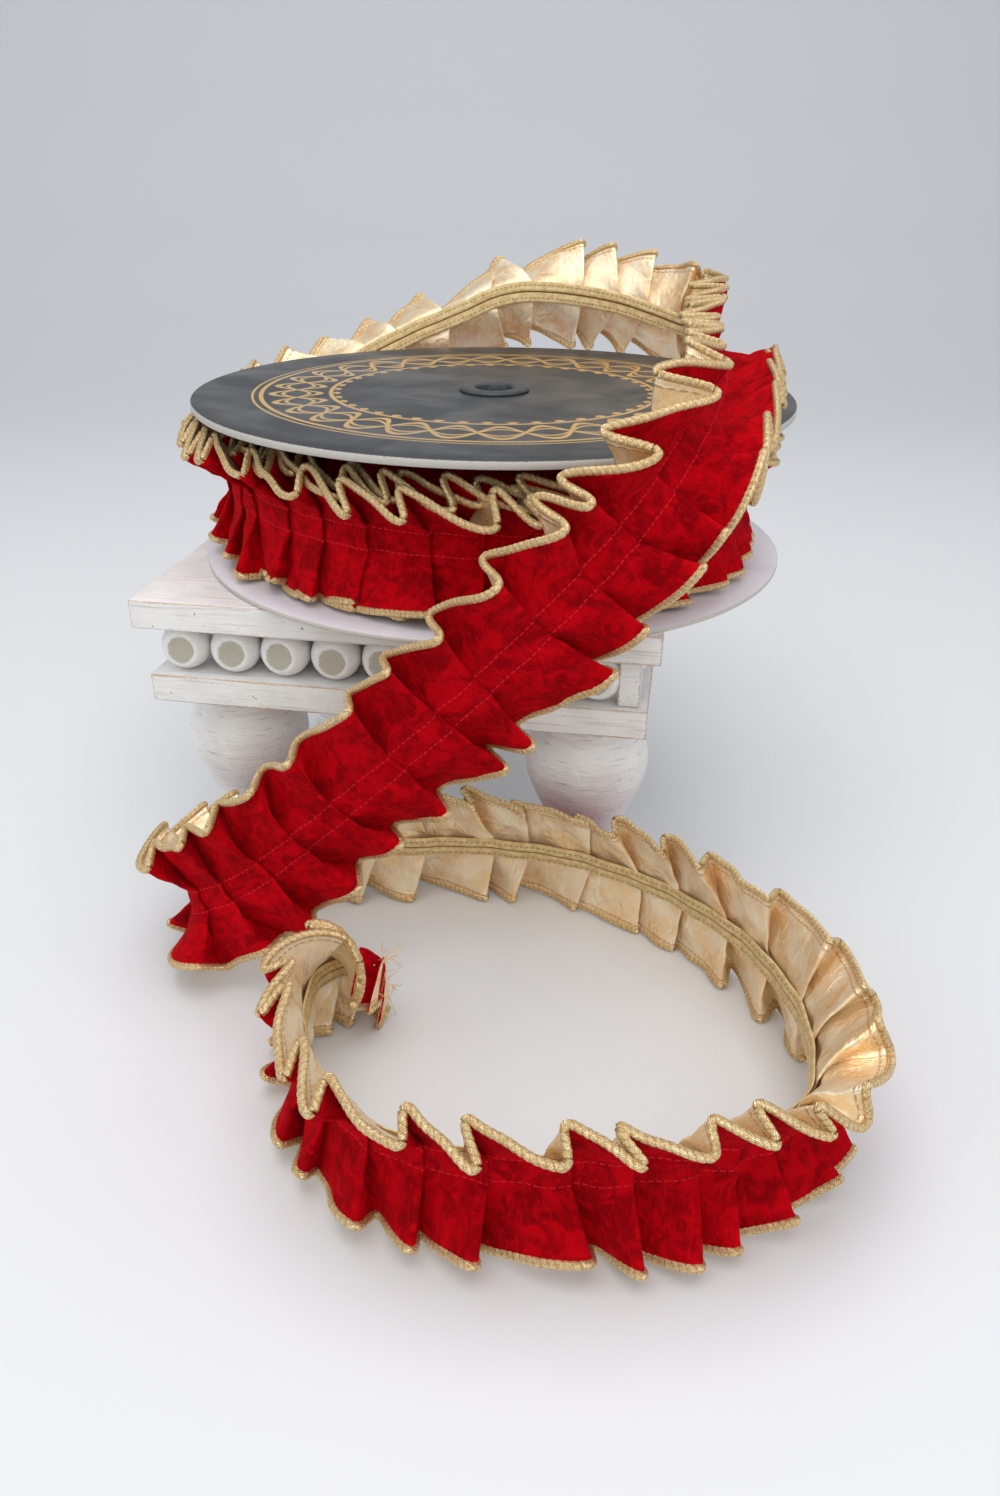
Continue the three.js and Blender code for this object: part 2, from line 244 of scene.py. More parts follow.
def joined(name, pieces):
    """Several pieces as one object."""
    whole = bmesh.new()
    for piece in pieces:
        whole.from_mesh(piece.data)
    mesh = bpy.data.meshes.new(name)
    whole.to_mesh(mesh)
    whole.free()
    mesh.materials.append(pieces[0].data.materials[0])
    for piece in pieces:
        bpy.data.meshes.remove(piece.data)
    return in_scene(name, mesh)


def from_axis(tree, place):
    """How far a spot is from its own Z axis."""
    flat = stretched(tree, place, (1, 1, 0))
    return step(tree, "VectorMath", {0: flat}, operation="LENGTH").outputs["Value"]


def bead_paint():
    finish, tree, shader = new_finish("sanded_bead_paint")
    place = own_place(tree)
    parts = step(tree, "SeparateXYZ", {0: place})
    ragged = grain(tree, place, 0.22, 3)
    fine = grain(tree, place, 1.3, 4)
    away = sums(tree, "MULTIPLY_ADD", ragged, 2.6, from_axis(tree, place))
    front = ramp(tree, parts.outputs[2], 5.5, 7.0)
    sanded = sums(tree, "MULTIPLY", ramp(tree, away, 7.3, 6.3), front)
    wood = blended(tree, fine, colour_of(168, 164, 146), colour_of(204, 200, 184))
    grey = ramp(tree, fine, 0.55, 0.75, 0.0, 0.45)
    paint = blended(tree, grey, colour_of(241, 240, 238), colour_of(196, 190, 184))
    tree.links.new(blended(tree, sanded, paint, wood), shader.inputs["Base Color"])
    height = sums(tree, "MULTIPLY_ADD", sanded, -0.8, fine)
    roughened(tree, shader, height, 0.5, 0.0006)
    tree.links.new(ramp(tree, sanded, 0, 1, 0.42, 0.62), shader.inputs["Roughness"])
    return finish


bead_finish = bead_paint()
bead_dice = np.random.RandomState(7)
bead_height = (lower_high.z + top_low.z) / 2
rows_of_beads = [
    # side, angle of its outward face, first bead and number of beads
    ("front", -90, -0.0885, 9),
    ("right", 0, -0.0640, 7),
    ("back", 90, -0.0885, 9),
    ("left", 180, -0.0640, 7),
]
for side_name, facing, first_bead, count in rows_of_beads:
    beads = []
    for k in range(count):
        wobble = Vector(bead_dice.uniform(-0.5, 0.5, 3))
        radius = bead_radius * (1 + 0.02 * wobble.x)
        flat = math.asin(flat_face / radius)
        bend = np.linspace(flat, math.pi - 0.25, 18)
        arc = [(radius * math.sin(a), radius * math.cos(a)) for a in bend]
        face = [(flat_face * s, arc[0][1] - face_hollow * (1 - s * s)) for s in (0.05, 0.35, 0.65, 0.9)]
        sideways = first_bead + bead_pitch * k
        outward = bead_reach - arc[0][1]
        place_on = (
            Matrix.Translation((*stand_middle, bead_height))
            @ Matrix.Rotation(stand_turn + math.radians(facing), 4, "Z")
            @ Matrix.Translation((outward, sideways, 0))
            @ Matrix.Rotation(bead_tilt * wobble.y, 4, "Z")
            @ Matrix.Rotation(bead_tilt * wobble.z, 4, "Y")
            @ Matrix.Rotation(math.pi / 2, 4, "Y")
        )
        beads.append(turned("bead", face + arc, 32, place_on, bead_finish))
    row = joined(f"bead_row_{side_name}", beads)
    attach(row, "root")
    if side_name == "front":
        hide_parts("stand_middle_block")

# Corner posts. Two short sawn posts close the rows of beads at the stand's front right corner and
# at the corner across from it.

post_side = 0.0086
post_inset = 0.0012
for post_name, sign in (("post_front", -1), ("post_back", 1)):
    reach = sign * (bead_reach - post_inset - post_side / 2)
    offset = Vector((-reach, reach, 0))
    offset.rotate(Matrix.Rotation(stand_turn, 3, "Z"))
    post = sawn_board(post_name, post_side, lower_high.z, top_low.z, board_paint)
    post.data.transform(Matrix.Translation(offset))

# Feet. Four turned feet, each a square-shouldered collar over a full bun and a narrow ankle, painted
# like the boards. The lathe's fine rings show through the paint.

foot_outline = [
    # radius, height
    (0.0005, 0.0000), (0.0128, 0.0000), (0.0138, 0.0010), (0.0140, 0.0050), (0.0137, 0.0070),
    (0.0122, 0.0085), (0.0119, 0.0120), (0.0121, 0.0160), (0.0130, 0.0220), (0.0148, 0.0280),
    (0.0176, 0.0350), (0.0208, 0.0420), (0.0238, 0.0490), (0.0257, 0.0550), (0.0264, 0.0600),
    (0.0262, 0.0650), (0.0250, 0.0690), (0.0232, 0.0722), (0.0214, 0.0745), (0.0208, 0.0757),
    (0.0210, 0.0768), (0.0222, 0.0776), (0.0225, 0.0786), (0.0225, 0.0868), (0.0222, 0.0878),
    (0.0005, 0.0880),
]
lathe_ring = 0.0021
lathe_depth = 0.00007
far_from_edge = 3.0
foot_paint = brushed_paint("brushed_foot_paint", (0.12, 0.12, 1.3), 0.7)
rounded = [foot_outline[0]]
for (r0, z0), (r1, z1) in zip(foot_outline, foot_outline[1:]):
    for share in (0.2, 0.4, 0.6, 0.8, 1.0):
        ridge = lathe_depth * math.sin(z0 + (z1 - z0) * share * 2 * math.pi / lathe_ring)
        if min(r0, r1) <= 0.01:
            ridge = 0
        rounded.append((r0 + (r1 - r0) * share + ridge, z0 + (z1 - z0) * share))
for number in range(1, 5):
    low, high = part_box(f"stand_foot_{number}")
    place_on = Matrix.Translation(((low.x + high.x) / 2, (low.y + high.y) / 2, 0))
    foot = turned(f"turned_foot_{number}", rounded, 52, place_on, foot_paint)
    marked(foot.data, "edge", np.full(len(foot.data.vertices), far_from_edge))
    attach(foot, "root")
    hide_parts(f"stand_foot_{number}")

# Spool. Two round flanges of grey board on a board tube. The lower one is faced with pale paper, the
# upper one with charcoal paper that has a printed gold border of plain interlaced rings.

upper_low, upper_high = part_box("upper_flange")
pale_low, pale_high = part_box("lower_flange")
hub_low, hub_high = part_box("hub")
axis_x, axis_y = (upper_low.x + upper_high.x) / 2, (upper_low.y + upper_high.y) / 2
flange_radius = (upper_high.x - upper_low.x) / 2
bore_radius = 0.008
tube_radius = 0.011
ring_radius = (hub_high.x - hub_low.x) / 2
rings_on_flange = 14
border_middle = 84.0
border_swings = [
    # swing of a waving line to each side of the border's middle, half its width, in millimetres
    (10.0, 1.5), (-10.0, 1.5), (5.5, 0.8), (-5.5, 0.8),
]
border_circles = [
    # radius, half of its line's width
    (98.5, 0.9), (69.5, 0.9), (102.0, 0.5),
]
dotted_circle = 67.0
printed_above = 199.2, 199.6
bare_rim = 126.9, 127.15


def disc_outline(inner, outer, low, high):
    """A closed outline with softened corners and rings enough to take a slight warp."""
    soft = 0.00035
    radii = np.linspace(inner + soft, outer - soft, rings_on_flange)
    under = [(r, low) for r in radii]
    rim = [(outer, low + soft), (outer, high - soft)]
    over = [(r, high) for r in radii[::-1]]
    return under + rim + over + [(inner, high - soft), (inner, low + soft)]


def warped(piece, amount):
    """Pressed board is never quite flat: it lifts a little towards its rim."""
    for corner in piece.data.vertices:
        x, y = corner.co.x - axis_x, corner.co.y - axis_y
        share = math.hypot(x, y) / flange_radius
        corner.co.z += amount * share**3 * math.sin(2 * math.atan2(y, x) + 0.7)


def board_finish(name, face, shade, speck, core_tint, printed=False):
    finish, tree, shader = new_finish(name)
    place = own_place(tree)
    parts = step(tree, "SeparateXYZ", {0: place})
    radius = from_axis(tree, place)
    soft = grain(tree, place, 0.035, 4, 0.5)
    fibre = grain(tree, place, 2.2, 4)
    scratch = grain(tree, stretched(tree, place, (0.05, 1.6, 0.05)), 1.0, 4, 0.3)
    paper = blended(tree, ramp(tree, soft, 0.38, 0.68), face, shade)
    paper = blended(tree, ramp(tree, scratch, 0.62, 0.74, 0.0, 0.5), paper, speck)
    paper = blended(tree, ramp(tree, fibre, 0.64, 0.76, 0.0, 0.45), paper, speck)
    gloss = ramp(tree, soft, 0.35, 0.7, 0.34, 0.5)
    if printed:
        angle = sums(tree, "ARCTAN2", parts.outputs[1], parts.outputs[0])
        wave = waves(tree, angle, 15.0)
        middle = sums(tree, "SUBTRACT", radius, border_middle)
        lines = []
        for swing, half in border_swings:
            off = apart(tree, middle, sums(tree, "MULTIPLY", wave, swing))
            lines.append(ramp(tree, off, half + 0.25, half - 0.25))
        for circle, half in border_circles:
            lines.append(ramp(tree, apart(tree, radius, circle), half + 0.2, half - 0.2))
        dots = sums(tree, "MULTIPLY_ADD", waves(tree, angle, 45.0), 1.4, 0.2)
        off = apart(tree, radius, dotted_circle)
        lines.append(ramp(tree, sums(tree, "SUBTRACT", off, dots), 0.2, -0.2))
        gold = lines[0]
        for line in lines[1:]:
            gold = sums(tree, "MAXIMUM", gold, line)
        gold = sums(tree, "MULTIPLY", gold, ramp(tree, parts.outputs[2], *printed_above))
        gold = sums(tree, "MULTIPLY", gold, ramp(tree, fibre, 0.3, 0.42, 0.35, 1.0))
        ink = blended(tree, soft, colour_of(196, 146, 70), colour_of(238, 194, 112))
        paper = blended(tree, gold, paper, ink)
        tree.links.new(sums(tree, "MULTIPLY", gold, 0.5), shader.inputs["Metallic"])
        gloss = sums(tree, "MULTIPLY_ADD", gold, -0.12, gloss)
    rim = ramp(tree, sums(tree, "MULTIPLY_ADD", fibre, 0.5, radius), *bare_rim)
    core = blended(tree, fibre, core_tint, colour_of(206, 202, 194))
    tree.links.new(blended(tree, rim, paper, core), shader.inputs["Base Color"])
    tree.links.new(sums(tree, "MULTIPLY_ADD", rim, 0.3, gloss), shader.inputs["Roughness"])
    height = sums(tree, "MULTIPLY_ADD", fibre, 0.6, sums(tree, "MULTIPLY", scratch, 0.4))
    roughened(tree, shader, height, 0.12, 0.0004)
    return finish


on_axis = Matrix.Translation((axis_x, axis_y, 0))
charcoal = board_finish("charcoal_paper", colour_of(50, 51, 53), colour_of(38, 40, 43),
                        colour_of(112, 118, 126), colour_of(168, 163, 156), printed=True)
pale = board_finish("pale_paper_board", colour_of(232, 230, 237), colour_of(224, 221, 230),
                    colour_of(206, 202, 210), colour_of(186, 178, 166))
flanges = [
    # CAD node, its underside and its top, finish, lift at the rim, slot
    ("upper_flange", upper_low.z, upper_high.z, charcoal, 0.0004, "dark_board"),
    ("lower_flange", pale_low.z, pale_high.z, pale, 0.0003, "pale_board"),
]
for node, low, high, finish, lift, slot in flanges:
    outline = disc_outline(bore_radius, flange_radius, low, high)
    flange = turned(f"{node}_board", outline, 240, on_axis, finish, closed=True)
    warped(flange, lift)
    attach(flange, "root")
    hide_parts(node)

# Hub. A tube wound from dark board between the flanges, with a pressed ring that holds the upper
# flange and frames the hole.

ring_low = upper_high.z
hub_outline = [
    # radius, height
    (bore_radius, hub_low.z + 0.0003), (bore_radius + 0.0003, hub_low.z), (tube_radius, hub_low.z),
    (tube_radius, ring_low), (ring_radius - 0.0002, ring_low), (ring_radius, ring_low + 0.0003),
    (ring_radius - 0.0002, ring_low + 0.0009), (ring_radius - 0.0012, hub_high.z),
    (bore_radius + 0.0016, hub_high.z), (bore_radius + 0.0006, hub_high.z - 0.0002),
    (bore_radius + 0.0001, hub_high.z - 0.0009), (bore_radius, ring_low - 0.004),
]


def pressed_board():
    finish, tree, shader = new_finish("pressed_dark_board")
    place = own_place(tree)
    fibre = grain(tree, place, 1.6, 4)
    soft = grain(tree, place, 0.25, 3)
    colour = blended(tree, ramp(tree, soft, 0.35, 0.65), colour_of(44, 46, 49), colour_of(60, 62, 65))
    colour = blended(tree, ramp(tree, fibre, 0.6, 0.75, 0.0, 0.5), colour, colour_of(98, 100, 104))
    tree.links.new(colour, shader.inputs["Base Color"])
    tree.links.new(ramp(tree, fibre, 0.3, 0.7, 0.38, 0.52), shader.inputs["Roughness"])
    roughened(tree, shader, fibre, 0.25, 0.0004)
    return finish


hub_tube = turned("hub_tube", hub_outline, 96, on_axis, pressed_board(), closed=True)
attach(hub_tube, "root")
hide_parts("hub")

# Ribbon cloth. Red crushed velvet sewn back to back with gold lame, 60 mm wide, knife pleated and
# stitched down its middle. It is one length: turns wound on the spool, then the loose end, which
# rises behind the spool, falls over the stand's front and lies in a loop on the table.

ribbon_half = 30.0
cord_radius = 1.4
cord_row = ribbon_half - cord_radius
stitched_half = 4.6
stitch_row = 4.3
hem_row = 25.2
velvet_pile = 0.36
lame_thickness = 0.26
folded_layer = 1.1
path_steps = 22
fold_seed = 5
dent_seed = 3
dent_depth = 0.55
table_rest = 1.5
flange_rest = 1000 * pale_high.z + 1.5
flange_reach = 127
over_stand = 150
rest_softness = 0.8
bend_radius = 3


def in_frame(points):
    """Millimetres about the spool's axis to metres in the frame."""
    return (np.asarray(points, float) + (1000 * axis_x, 1000 * axis_y, 0)) / 1000


def unit(vectors):
    return vectors / np.maximum(np.linalg.norm(vectors, axis=-1, keepdims=True), 1e-9)


def softened(values, passes):
    """Rounds the bends of rows along the ribbon. The first and the last row stay."""
    values = values.copy()
    for _ in range(passes):
        values[1:-1] = (values[:-2] + 2 * values[1:-1] + values[2:]) / 4
    return values


def lengths(points):
    return np.concatenate([[0], np.cumsum(np.linalg.norm(np.diff(points, axis=0), axis=1))])


def smooth_rows(table):
    """A smooth curve through the table's rows, one row for each millimetre of its length."""
    rows = np.array(table, float)
    rows = np.vstack([2 * rows[0] - rows[1], rows, 2 * rows[-1] - rows[-2]])
    t = np.linspace(0, len(rows) - 3 - 1e-6, 40 * len(rows))
    i = t.astype(int)
    f = (t - i)[:, None]
    a, b, c, d = rows[i], rows[i + 1], rows[i + 2], rows[i + 3]
    square, cube = 2 * a - 5 * b + 4 * c - d, 3 * b - a - 3 * c + d
    curve = b + 0.5 * ((c - a) * f + square * f**2 + cube * f**3)
    along = lengths(curve[:, :3])
    even = np.arange(0, along[-1], 1.0)
    return np.stack([np.interp(even, along, column) for column in curve.T], 1)


def ribbon_course(table):
    """For each millimetre: the ribbon's middle, the way up it, the way to its velvet side, and how
    far its upper and its lower half bend to the velvet side."""
    curve = smooth_rows(table)
    middle = softened(curve[:, :3], 30)
    lean, upper_bend, lower_bend = softened(np.radians(curve[:, 3:6]), 20).T
    forward = unit(np.gradient(middle, axis=0))
    up = unit(np.array([0, 0, 1.0]) - forward[:, 2:3] * forward)
    velvet = np.cross(up, forward)
    sideways, upright = np.sin(lean)[:, None], np.cos(lean)[:, None]
    from_spool_axis = np.hypot(middle[:, 0], middle[:, 1])
    over_flange = (middle[:, 2] > over_stand) & (from_spool_axis < flange_reach)
    return {
        "middle": middle,
        "up": up * upright + velvet * sideways,
        "velvet": velvet * upright - up * sideways,
        "upper_bend": upper_bend,
        "lower_bend": lower_bend,
        "rest": np.where(over_flange, flange_rest, table_rest),
    }


def placed(course, along, across, off):
    """Points along the course, across the ribbon from its middle, and off to the velvet side. None
    goes below what the ribbon rests on."""
    rows = np.arange(len(course["middle"]))

    def at(key):
        columns = course[key].reshape(len(rows), -1).T
        found = np.stack([np.interp(along, rows, column) for column in columns], -1)
        return found if len(columns) == 3 else found[..., 0]

    side = np.sign(across)
    past = np.maximum(np.abs(across) - stitched_half, 0)
    bend = np.where(side > 0, at("upper_bend"), at("lower_bend"))
    eased = 1 - np.exp(-past / bend_radius)
    swung = past - bend_radius * eased
    rise = across - side * swung * (1 - np.cos(bend)) - side * off * np.sin(bend * eased)
    out = swung * np.sin(bend) + off * np.cos(bend * eased)
    points = at("middle") + at("up") * rise[..., None] + at("velvet") * out[..., None]
    over = (points[..., 2] - at("rest")) / rest_softness
    points[..., 2] = at("rest") + rest_softness * np.logaddexp(0, over)
    return points


pleat_runs = [
    # from this place along the loose end: pitch of the pleats, how far the crests and the troughs of
    # their upper ends and then of their lower ends stand out, and the share of ends pressed flat
    (-9999, 20.0, 6.6, 6.6, 6.4, 6.4, 0.08),
    (0, 21.5, 7.0, 7.0, 6.2, 6.2, 0.05),
    (380, 22.0, 7.5, 8.5, 5.0, 5.0, 0.0),
    (620, 24.0, 8.5, 12.0, 9.0, 9.0, 0.0),
    (870, 17.5, 7.0, 8.0, 7.0, 7.0, 0.0),
    (950, 22.0, 4.8, 4.8, 7.2, 7.2, 0.12),
    (1240, 16.0, 5.4, 5.4, 6.6, 6.6, 0.0),
    (1290, 19.5, 7.0, 4.5, 11.0, 6.5, 0.0),
    (1410, 15.5, 6.0, 6.0, 6.2, 6.2, 0.0),
]


def fold_table(length, loose_start, seed):
    """Where each knife pleat is, and how its upper and lower ends stand open."""
    dice = np.random.RandomState(seed)
    places, runs = [0.0], []
    while True:
        run = [row for row in pleat_runs if places[-1] - loose_start >= row[0]][-1]
        runs.append(run[1:])
        following = places[-1] + run[1] * (1 + dice.uniform(-0.3, 0.3))
        if following > length - 9:
            break
        places.append(following)
    places.append(length)
    runs.append(runs[-1])
    many = len(places)
    pitch, *openings, flat_share = np.array(runs).T
    table = {"place": np.array(places), "depth": dice.uniform(0.36, 0.46, many) * pitch}
    for end, crests, troughs in (("upper", *openings[:2]), ("lower", *openings[2:])):
        pressed = dice.uniform(0, 1, many) < flat_share
        table[end] = {
            "crest": np.where(pressed, 2.2, crests * dice.uniform(0.75, 1.2, many)),
            "trough": np.where(pressed, 1.8, troughs * dice.uniform(0.7, 1.15, many)),
            "lap": np.where(pressed, 6.5, dice.uniform(-3.0, 5.0, many)),
            "slant": dice.uniform(-5.5, 5.5, many),
            "dip": dice.uniform(0, 0.09 if end == "upper" else 0.17, many),
            "puff": dice.uniform(-1.0, 2.2, many),
        }
    return table


def pleated(folds, across):
    """The folded cloth for each thread across: place along the ribbon, place across it and height to
    the velvet side. A pleat is a long panel, then a tuck that runs back under the next panel."""
    theta = 2 * np.pi * np.arange(path_steps)[None, :, None] / path_steps
    panel = theta < np.pi
    to_trough = (1 - np.cos(theta)) / 2
    roundness = np.where(panel, theta / np.pi - to_trough, theta / np.pi - 2 + to_trough) / 2
    open_share = np.clip((np.abs(across) - stitched_half) / (cord_row - stitched_half), 0, 1) ** 0.85
    upper = (across > 0)[None, None, :]
    place = folds["place"]
    pitch = np.diff(place)[:, None, None]

    def ends(key, shift):
        rows = slice(shift, len(place) - 1 + shift)
        upper_end, lower_end = (folds[end][key][rows, None, None] for end in ("upper", "lower"))
        return np.where(upper, upper_end, lower_end)

    def of_crest(key):
        return np.where(panel, ends(key, 0), ends(key, 1))

    share = open_share[None, None, :]
    start = np.where(panel, place[:-1, None, None], place[1:, None, None]) + share * of_crest("slant")
    turn = place[1:, None, None] + share * ends("slant", 1)
    turn = turn + (1 - share) * folds["depth"][1:, None, None] + share * ends("lap", 1)
    along = start * (1 - to_trough) + turn * to_trough + share * pitch * roundness
    crest = (1 - share) * folded_layer + share * of_crest("crest")
    trough = (1 - share) * folded_layer + share * ends("trough", 1)
    height = crest * (1 - to_trough) - trough * to_trough
    height = height + share * np.where(panel, np.sin(theta), 0) * ends("puff", 0)
    dip = of_crest("dip") * (1 - to_trough) + 0.5 * ends("dip", 1) * to_trough
    reach = across[None, None, :] * (1 - share * dip)
    path = np.stack(np.broadcast_arrays(along, reach, height), -1)
    path = path.reshape(-1, len(across), 3)
    return softened(path, 1)


def dented(path, seed, amount):
    """The soft dents of handled cloth, the same for all the layers that lie on each other, and the
    two rows of stitches that draw them in."""
    dice = np.random.RandomState(seed)
    dent = np.zeros(path.shape[:2])
    for k in range(9):
        way = unit(dice.normal(size=2)) * 2 * np.pi / dice.uniform(8, 26)
        dent += np.sin(path[..., :2] @ way + dice.uniform(0, 6.28))
    pinch = np.exp(-(((np.abs(path[..., 1]) - stitch_row) / 0.8) ** 2))
    path = path.copy()
    path[..., 2] += amount * dent / 3 - 0.35 * pinch
    return path


def grid_faces(rows, columns, start=0):
    corner = start + (np.arange(rows - 1)[:, None] * columns + np.arange(columns - 1)).ravel()
    return np.stack([corner, corner + 1, corner + columns + 1, corner + columns], 1)


def grid_rim(rows, columns):
    """The corners round a grid's edge, in order."""
    return np.concatenate([
        np.arange(columns - 1),
        np.arange(rows - 1) * columns + columns - 1,
        (rows - 1) * columns + np.arange(columns - 1, 0, -1),
        np.arange(rows - 1, 0, -1) * columns,
    ])


def new_piece(name, points, faces, place, finishes, finish_of_face=0):
    """A smooth piece from points in metres and four-sided faces. Place is its own coordinates in
    millimetres, for each point or for each corner of the faces."""
    mesh = bpy.data.meshes.new(name)
    mesh.vertices.add(len(points))
    mesh.vertices.foreach_set("co", np.asarray(points, np.float32).ravel())
    mesh.loops.add(faces.size)
    mesh.loops.foreach_set("vertex_index", faces.astype(np.int32).ravel())
    mesh.polygons.add(len(faces))
    mesh.polygons.foreach_set("loop_start", np.arange(0, faces.size, 4, dtype=np.int32))
    finish_of_face = np.broadcast_to(finish_of_face, len(faces)).astype(np.int32)
    mesh.polygons.foreach_set("material_index", finish_of_face)
    mesh.update(calc_edges=True)
    mesh.shade_smooth()
    if len(place) != faces.size:
        place = place[faces.ravel()]
    marked(mesh, "place", place, "CORNER")
    for finish in finishes:
        mesh.materials.append(finish)
    return in_scene(name, mesh)


def cloth_piece(name, surface, across, finishes):
    """The two sewn cloths as one closed body: velvet on its front, lame on its back."""
    rows, columns = surface.shape[:2]
    normal = unit(np.cross(np.gradient(surface, axis=1), np.gradient(surface, axis=0)))
    normal = unit(softened(normal, 1))
    velvet = surface + normal * velvet_pile
    lame = surface - normal * lame_thickness
    along = lengths(surface[:, columns // 2])
    place = np.stack(np.broadcast_arrays(along[:, None], across[None, :], 0.0), -1).reshape(-1, 3)
    back = rows * columns
    ring = grid_rim(rows, columns)
    following = np.roll(ring, -1)
    front_faces = grid_faces(rows, columns)[:, [0, 3, 2, 1]]
    back_faces = grid_faces(rows, columns, back)
    walls = np.stack([ring, following, following + back, ring + back], 1)
    faces = np.vstack([front_faces, back_faces, walls])
    finish_of_face = np.repeat([0, 1, 0], [len(front_faces), len(back_faces), len(walls)])
    points = in_frame(np.vstack([velvet.reshape(-1, 3), lame.reshape(-1, 3)]))
    return new_piece(name, points, faces, np.vstack([place, place]), finishes, finish_of_face)


def woven_finish(name):
    """A new finish and the ribbon's own places: all of them, along it and across it."""
    finish, tree, shader = new_finish(name)
    place = own_place(tree)
    parts = step(tree, "SeparateXYZ", {0: place})
    return finish, tree, shader, place, parts.outputs[0], parts.outputs[1]


def off_row(tree, across_it, row):
    """How far a spot is off a row of stitches, one on each side of the ribbon's middle."""
    return apart(tree, sums(tree, "ABSOLUTE", across_it), row)


def stitched(tree, along, off, rate, width, gap):
    """1 on the thread of a row of stitches, 0 beside it and between them."""
    dash = ramp(tree, waves(tree, along, rate), *gap)
    return sums(tree, "MULTIPLY", ramp(tree, off, *width), dash)


def crushed_velvet():
    finish, tree, shader, place, along, across_it = woven_finish("crushed_velvet")
    lay = grain(tree, place, 0.16, 4, 1.0)
    patch = grain(tree, place, 0.055, 2, 0.5)
    streak = grain(tree, stretched(tree, place, (0.9, 0.25, 1)), 1.0, 3)
    pile = grain(tree, place, 3.2, 2)
    crushed = sums(tree, "MULTIPLY_ADD", patch, 0.4, sums(tree, "MULTIPLY", lay, 0.6))
    crushed = ramp(tree, crushed, 0.38, 0.62)
    colour = blended(tree, crushed, colour_of(134, 0, 8), colour_of(190, 1, 16))
    colour = blended(tree, ramp(tree, streak, 0.5, 0.75, 0.0, 0.45), colour, colour_of(224, 8, 26))
    colour = blended(tree, ramp(tree, pile, 0.45, 0.8, 0.0, 0.3), colour, colour_of(222, 12, 28))
    off = off_row(tree, across_it, stitch_row)
    thread = stitched(tree, along, off, 2.6, (0.5, 0.15), (-0.8, -0.3))
    colour = blended(tree, sums(tree, "MULTIPLY", thread, 0.55), colour, colour_of(238, 44, 56))
    tree.links.new(colour, shader.inputs["Base Color"])
    height = sums(tree, "MULTIPLY_ADD", lay, 1.0, sums(tree, "MULTIPLY", pile, 0.2))
    height = sums(tree, "MULTIPLY_ADD", streak, 0.35, height)
    roughened(tree, shader, height, 0.8, 0.0012)
    shader.inputs["Roughness"].default_value = 0.85
    shader.inputs["Specular IOR Level"].default_value = 0.05
    shader.inputs["Sheen Weight"].default_value = 0.7
    shader.inputs["Sheen Roughness"].default_value = 0.3
    shader.inputs["Sheen Tint"].default_value = colour_of(255, 26, 40)
    return finish


def gold_lame():
    finish, tree, shader, place, along, across_it = woven_finish("gold_lame")
    ribs = waves(tree, along, 11.0)
    crinkle = grain(tree, stretched(tree, place, (0.16, 0.11, 1)), 1.0, 3, 1.4)
    tone = grain(tree, place, 0.07, 3, 0.5)
    deep, pale_gold = colour_of(250, 216, 166), colour_of(255, 240, 208)
    colour = blended(tree, ramp(tree, tone, 0.35, 0.65), deep, pale_gold)
    # The near-white laid on the crinkles' raised ridges is a painted highlight.
    colour = blended(tree, ramp(tree, crinkle, 0.56, 0.7, 0.0, 0.6), colour, colour_of(255, 246, 228))
    colour = blended(tree, ramp(tree, ribs, 0.2, 1.0, 0.0, 0.18), colour, colour_of(196, 140, 82))
    off = off_row(tree, across_it, hem_row)
    thread = stitched(tree, along, off, 2.9, (0.45, 0.1), (-0.7, 0.1))
    colour = blended(tree, sums(tree, "MULTIPLY", thread, 0.8), colour, colour_of(190, 142, 84))
    tree.links.new(colour, shader.inputs["Base Color"])
    height = sums(tree, "MULTIPLY_ADD", ribs, 0.04, crinkle)
    height = sums(tree, "SUBTRACT", height, sums(tree, "MULTIPLY", ramp(tree, off, 0.8, 0.0), 0.2))
    roughened(tree, shader, height, 0.7, 0.0014)
    tree.links.new(ramp(tree, tone, 0.3, 0.7, 0.26, 0.4), shader.inputs["Roughness"])
    shader.inputs["Metallic"].default_value = 0.6
    return finish


